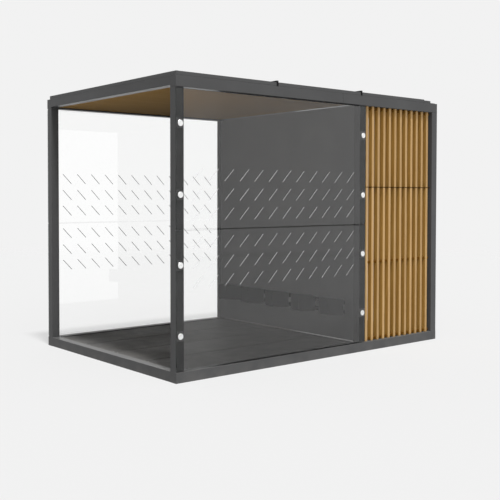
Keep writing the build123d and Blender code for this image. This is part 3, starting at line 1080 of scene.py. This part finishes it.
def add_hexagon_screw(making, place, outward):
    """A hexagon head on its washer. The washer lies on the surface, and the head points outward."""
    washer = [(0, 0), (SEAL_RADIUS, 0), (SEAL_RADIUS * 0.94, SEAL_HEIGHT * 0.7), (HEXAGON_RADIUS, SEAL_HEIGHT),
              (0, SEAL_HEIGHT)]
    top = SEAL_HEIGHT + HEXAGON_HEIGHT
    head = [(0, SEAL_HEIGHT * 0.9), (HEXAGON_RADIUS, SEAL_HEIGHT * 0.9), (HEXAGON_RADIUS, top - CHAMFER_DOWN),
            (HEXAGON_RADIUS - CHAMFER_ACROSS, top), (0, top)]
    add_turned(making, washer, place, outward, finish=1, steps=SEAL_STEPS)
    add_turned(making, head, place, outward, steps=HEXAGON)


ROOF_SCREW_ROWS = 4
roof_screws = bmesh.new()
for name in ("left", "middle", "right"):
    low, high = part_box(f"roof_panel_{name}")
    for x in rib_middles(low.x, high.x):
        for y in spread(low.y + 2 * ROOF_RIM, high.y - ROOF_RIM, ROOF_SCREW_ROWS):
            add_hexagon_screw(roof_screws, Vector((x, y, high.z)), UP)
finish_piece("Roof_screws", roof_screws, [zinc_steel, black_rubber], smooth=30)

# %% [markdown]
# ## Wheel rack
# Ten steel cheeks stand in pairs on two flat rails. The plates keep the shape of the solids with softened edges.
# Each cheek is welded to both rails on its outer side, and bolts hold the rails to the partition between the pairs.
# A weld is a row of overlapping scales, so a bead is a thin bar whose radius swells and shrinks along it.

# %% Weld helper
BEAD_RADIUS = 0.0022
BEAD_SCALE = 0.0034
BEAD_SIDES = 7
BEAD_NECK = 0.72
BEAD_END = 0.55


def add_bead(making, start, end, radius=BEAD_RADIUS):
    """A weld bead between two points, half sunk into the corner that it fills."""
    along = end - start
    placed = Matrix.Translation(start) @ along.to_track_quat("Z", "Y").to_matrix().to_4x4()
    scales = max(2, round(along.length / BEAD_SCALE))
    turns = [2 * math.pi * k / BEAD_SIDES for k in range(BEAD_SIDES)]
    rings = []
    for i in range(2 * scales + 1):
        swell = radius * (1.0 if i % 2 else BEAD_NECK) * (BEAD_END if i in (0, 2 * scales) else 1.0)
        height = along.length * i / (2 * scales)
        ring = [placed @ Vector((swell * math.cos(turn), swell * math.sin(turn), height)) for turn in turns]
        rings.append([making.verts.new(point) for point in ring])
    for one, two in zip(rings, rings[1:]):
        for k in range(BEAD_SIDES):
            making.faces.new([one[k], one[(k + 1) % BEAD_SIDES], two[(k + 1) % BEAD_SIDES], two[k]])
    making.faces.new(rings[0])
    making.faces.new(rings[-1])


# %% Wheel rack
PLATE_ROUNDING = 0.0009
CHEEK_THICKNESS = 0.005

for part in ("cheeks", "rails"):
    finish_rounded(f"Rack_{part}", f"wheel_rack_{part}", PLATE_ROUNDING, rack_coat)

cheek_places = sorted(islands("wheel_rack_cheeks"), key=lambda pair: pair[0].y + pair[1].y)
rail_places = islands("wheel_rack_rails")
rail_face = rail_places[0][0].x
beads, bolts = bmesh.new(), bmesh.new()
for rail_low, rail_high in rail_places:
    for i, (low, high) in enumerate(cheek_places):
        foot = low.y + CHEEK_THICKNESS if i % 2 else high.y - CHEEK_THICKNESS
        add_bead(beads, Vector((rail_face, foot, rail_low.z)), Vector((rail_face, foot, rail_high.z)))
    for one, two in zip(cheek_places[1:-1:2], cheek_places[2::2]):
        between = Vector((rail_face, (one[0].y + two[1].y) / 2, (rail_low.z + rail_high.z) / 2))
        add_hexagon_screw(bolts, between, Vector((-1, 0, 0)))
finish_piece("Rack_welds", beads, rack_coat, smooth=60)
finish_piece("Rack_bolts", bolts, [zinc_steel, zinc_steel], smooth=30)

# %% [markdown]
# ## Screens
# The slats are threaded between spacers, which keep them apart at the bottom, in the middle and at the top. Their
# dark brown is that of the slats in shade, so the spacers are partly painted shade, which darkens the gaps there. A
# thin transom divides the screen, and the upper slats stand on it.

# %% Spacers and transom
for side in SIDES:
    screen = new_mesh()
    for low, high in islands(f"slat_spacers_{side}"):
        add_board(screen, low, high, PLATE_ROUNDING)
    finish_piece(f"Slat_spacers_{side}", screen, spacer_and_shade_coat, [f"slat_spacers_{side}"])
    finish_rounded(f"Slat_transom_{side}", f"slat_transom_{side}", PLATE_ROUNDING, transom_coat)

# %% [markdown]
# ## Welds of the frame
# The posts are welded to the beams all round. On the outside the welds are ground flush, and inside the bays they are
# left as they are, as narrow beads under the paint.

# %% Frame welds
FRAME_BEAD = 0.002
BEAD_INSET = 0.004

frame_beads = bmesh.new()
for side in ("left", "middle", "right"):
    for depth in SIDES:
        low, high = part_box(f"post_{depth}_{side}")
        inner_y = high.y if depth == "front" else low.y
        inner_sides = [x for x in (low.x, high.x) if solid_low.x + BEAD_INSET < x < solid_high.x - BEAD_INSET]
        for z, beam in ((low.z, "base"), (high.z, "top")):
            beam_low, beam_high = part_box(f"{beam}_beam_{side}")
            edge_z = beam_high.z if beam == "base" else beam_low.z
            add_bead(frame_beads, Vector((beam_low.x + BEAD_INSET, inner_y, edge_z)),
                     Vector((beam_high.x - BEAD_INSET, inner_y, edge_z)), FRAME_BEAD)
            for x in inner_sides:
                add_bead(frame_beads, Vector((x, low.y + BEAD_INSET, z)), Vector((x, high.y - BEAD_INSET, z)),
                         FRAME_BEAD)
finish_piece("Frame_welds", frame_beads, frame_coat, smooth=60)
